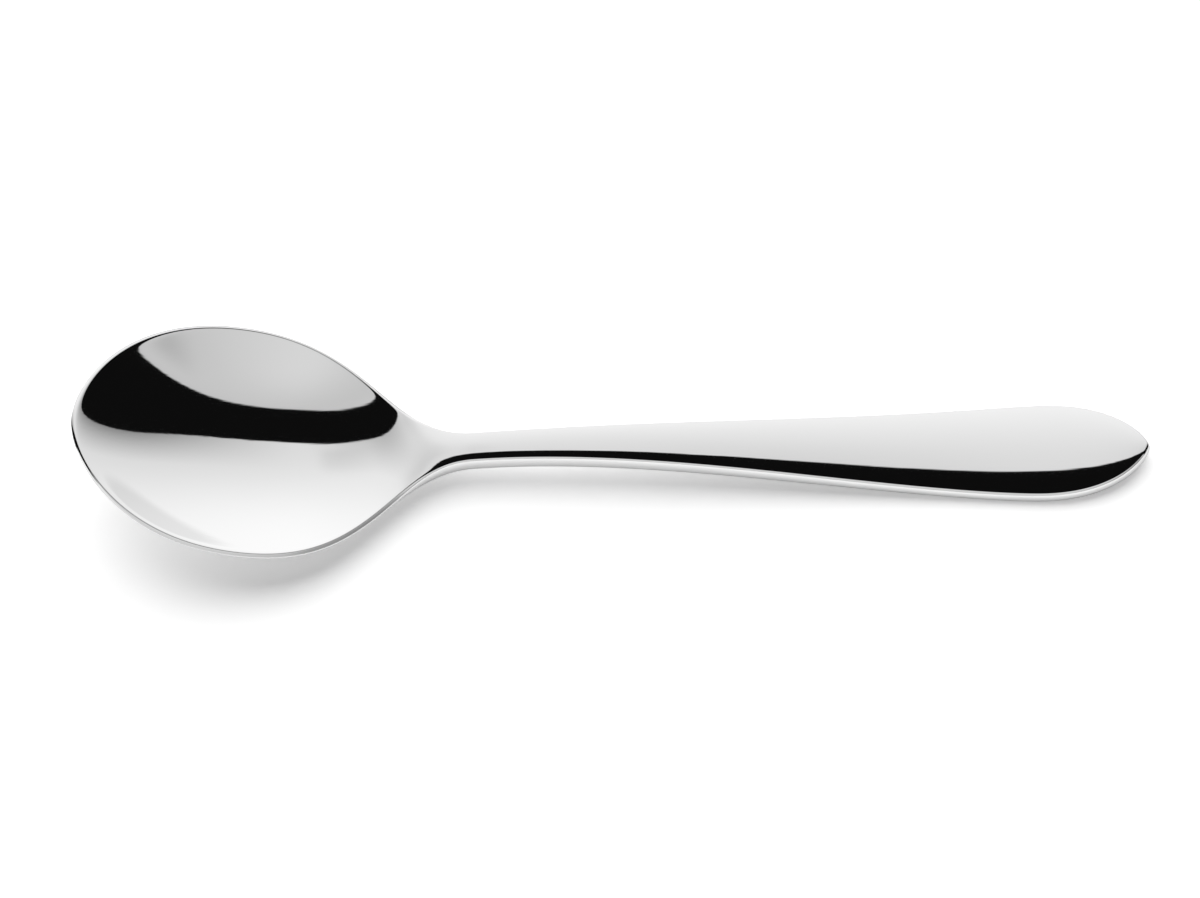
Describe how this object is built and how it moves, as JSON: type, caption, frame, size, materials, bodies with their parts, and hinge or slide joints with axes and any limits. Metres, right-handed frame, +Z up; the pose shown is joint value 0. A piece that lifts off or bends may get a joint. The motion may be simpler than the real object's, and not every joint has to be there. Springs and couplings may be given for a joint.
{
  "type": "coffee spoon",
  "caption": "Coffee spoon with an egg-shaped hollow bowl, a slim arched neck and a crowned handle that widens to a pointed round end, for stirring and sipping.",
  "frame": {"origin": "middle of the bottom face of the box around the spoon, on the table it lies on", "axes": "+X along the spoon towards the end of the handle, +Y across it, +Z up out of the bowl"},
  "size_m": [0.14, 0.035, 0.0129],
  "materials": {
    "polished_steel": "mirror-polished stainless steel"
  },
  "bodies": {
    "root": {"spoon": "polished_steel"}
  },
  "joints": []
}
